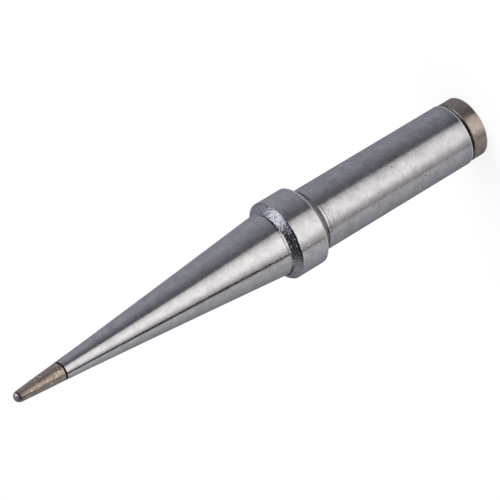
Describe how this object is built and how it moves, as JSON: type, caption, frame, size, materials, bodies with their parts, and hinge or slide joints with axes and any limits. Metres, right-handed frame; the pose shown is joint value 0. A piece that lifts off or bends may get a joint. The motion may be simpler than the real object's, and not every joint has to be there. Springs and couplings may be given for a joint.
{
  "type": "soldering iron tip",
  "caption": "Long conical soldering iron tip with a straight shank, a chamfered collar that a retaining nut holds, and a magnetic sensor slug at its rear end.",
  "frame": {"origin": "centre of the sensor slug's flat rear face, on which the tip stands", "axes": "+Z along the turning axis, from the rear face towards the working end; X and Y are across it"},
  "size_m": [0.007, 0.007, 0.048],
  "materials": {
    "plated_body": "satin turned plating over copper, with a bare brown-grey working end",
    "magnetic_slug": "unplated brown-grey magnetic alloy, turned"
  },
  "bodies": {
    "root": {"tip_body": "plated_body", "sensor_slug": "magnetic_slug"}
  },
  "joints": []
}
